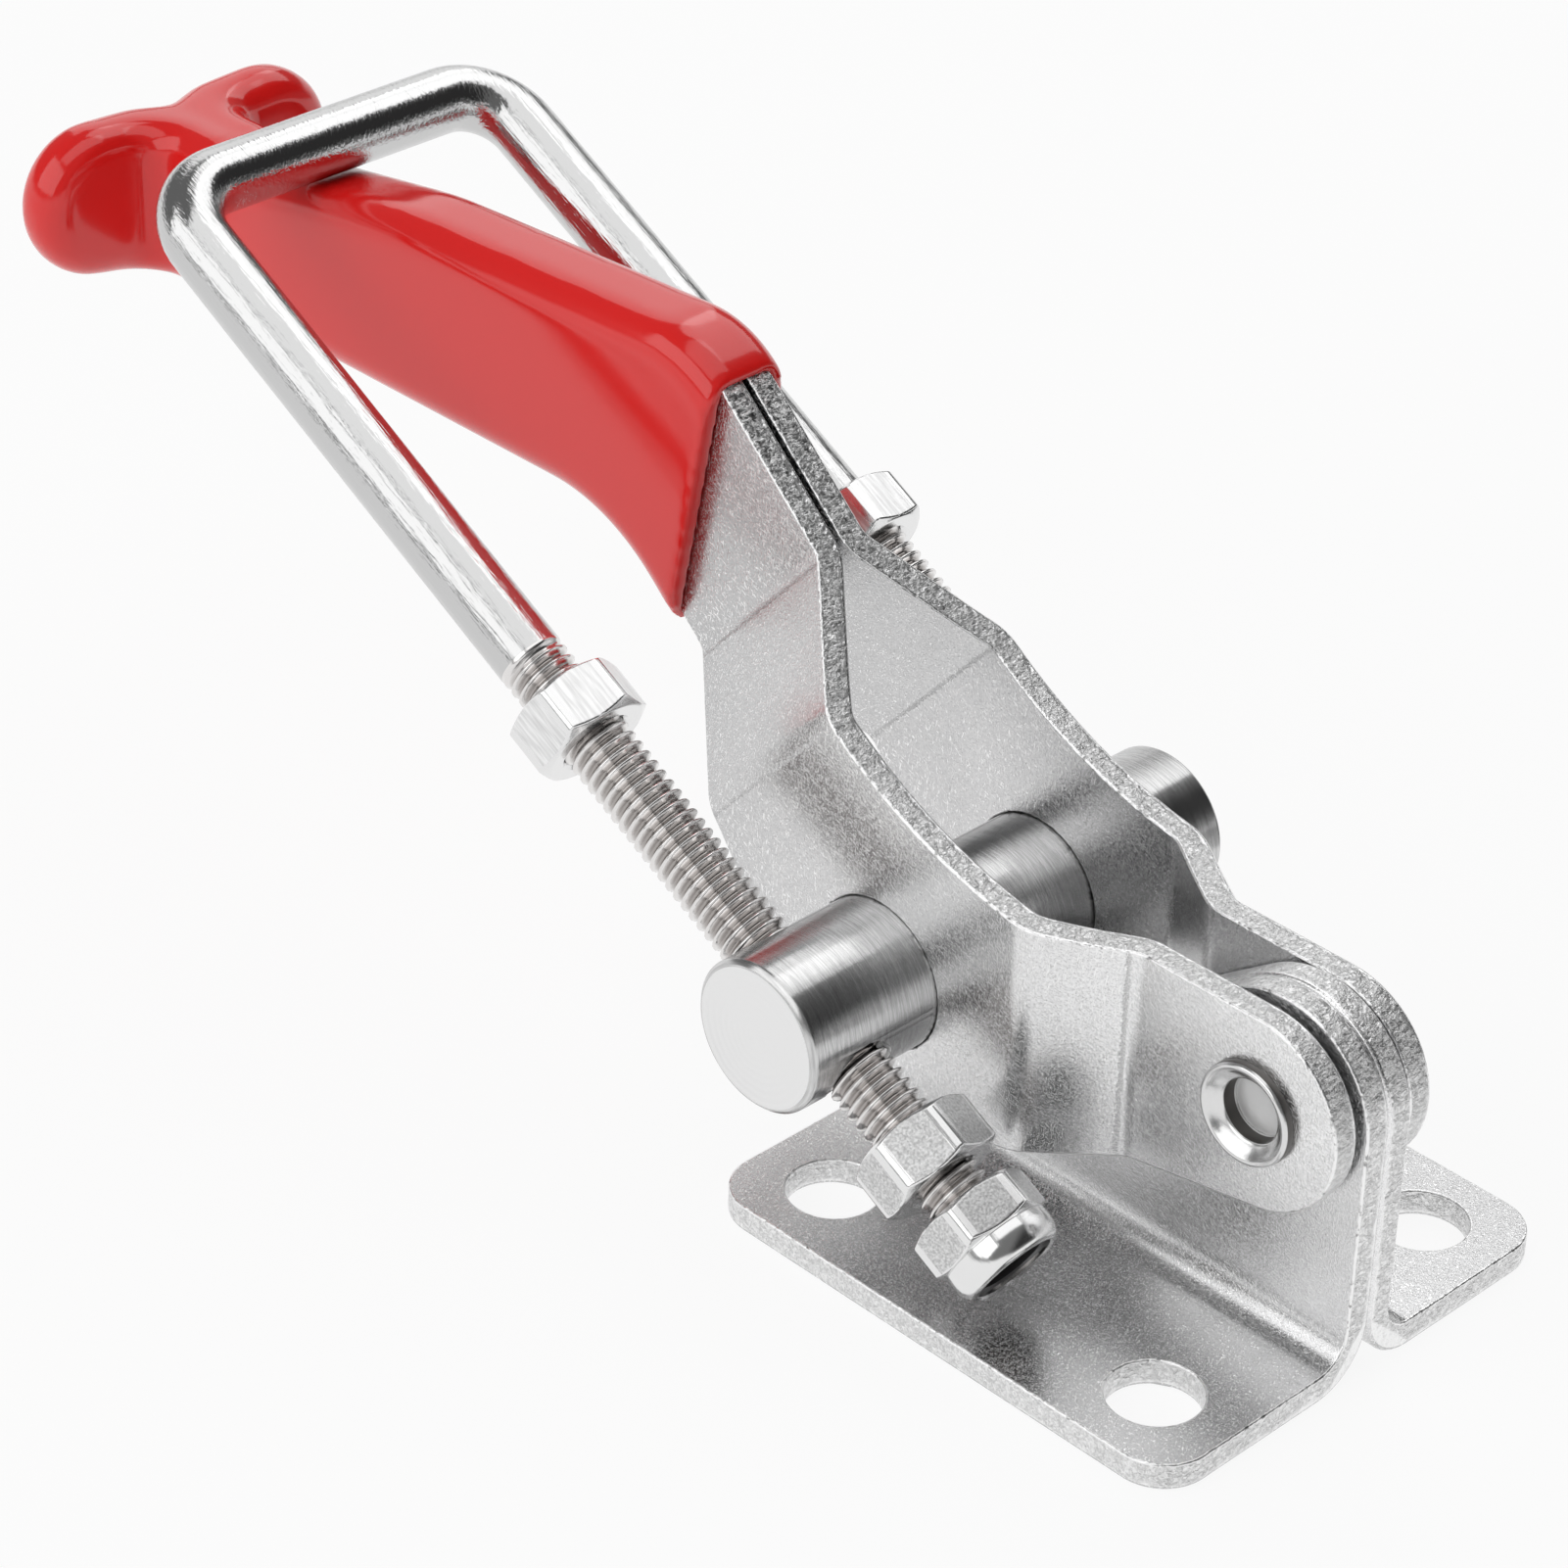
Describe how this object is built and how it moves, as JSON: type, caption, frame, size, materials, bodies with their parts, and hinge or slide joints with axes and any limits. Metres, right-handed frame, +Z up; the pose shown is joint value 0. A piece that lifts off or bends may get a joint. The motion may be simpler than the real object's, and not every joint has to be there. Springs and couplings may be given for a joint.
{
  "type": "over centre toggle latch",
  "caption": "Over-centre toggle latch with a T-ended vinyl-dipped handle, a cross pin, and an adjustable U-bolt that hooks and pulls a keeper to the bolted base.",
  "frame": {"origin": "centre of the four mounting holes, on the underside of the base", "axes": "+X along the base towards the handle's pivot, +Y to the left-hand side, +Z up from the surface the base is bolted to; the handle's tail points to -X"},
  "size_m": [0.2011, 0.0648, 0.0889],
  "materials": {
    "base_steel": "satin tumbled stainless sheet",
    "plate_steel": "satin tumbled stainless sheet",
    "rivet_steel": "polished by the setting tool",
    "pin_steel": "turned, brushed round",
    "rod_steel": "bright drawn, polished",
    "nut_steel": "cold formed, bright chamfers",
    "lock_nut_steel": "cold formed, polished collar",
    "insert_nylon": "dark nylon",
    "grip_vinyl": "glossy dipped vinyl"
  },
  "bodies": {
    "base": {"base_bracket_left": "base_steel", "base_bracket_right": "base_steel"},
    "handle": {"handle_plate_left": "plate_steel", "handle_plate_right": "plate_steel", "pivot_rivet": "rivet_steel", "handle_grip": "grip_vinyl"},
    "cross_pin": {"trunnion_pin": "pin_steel"},
    "hook": {"u_bolt": "rod_steel", "upper_nut_left": "nut_steel", "upper_nut_right": "nut_steel", "lower_nut_left": "nut_steel", "lower_nut_right": "nut_steel", "lock_nut_left": "lock_nut_steel", "lock_nut_right": "lock_nut_steel", "lock_nut_insert_left": "insert_nylon", "lock_nut_insert_right": "insert_nylon"}
  },
  "joints": [
    {"name": "handle_pivot", "type": "hinge", "parent": "base", "child": "handle", "pos_m": [0.0218, 0, 0.0315], "axis": [0, 1, 0], "range_deg": [0, 135]},
    {"name": "hook_swing", "type": "hinge", "parent": "handle", "child": "cross_pin", "pos_m": [-0.0257, 0, 0.0276], "axis": [0, 1, 0], "range_deg": [0, 27]},
    {"name": "rod_slide", "type": "slide", "parent": "cross_pin", "child": "hook", "axis": [-0.8818, 0, 0.4716], "range_m": [0, 0.0078]}
  ],
  "couplings": [
    {"joint": "hook_swing", "follows": "handle_pivot", "ratio": 0.2}
  ]
}
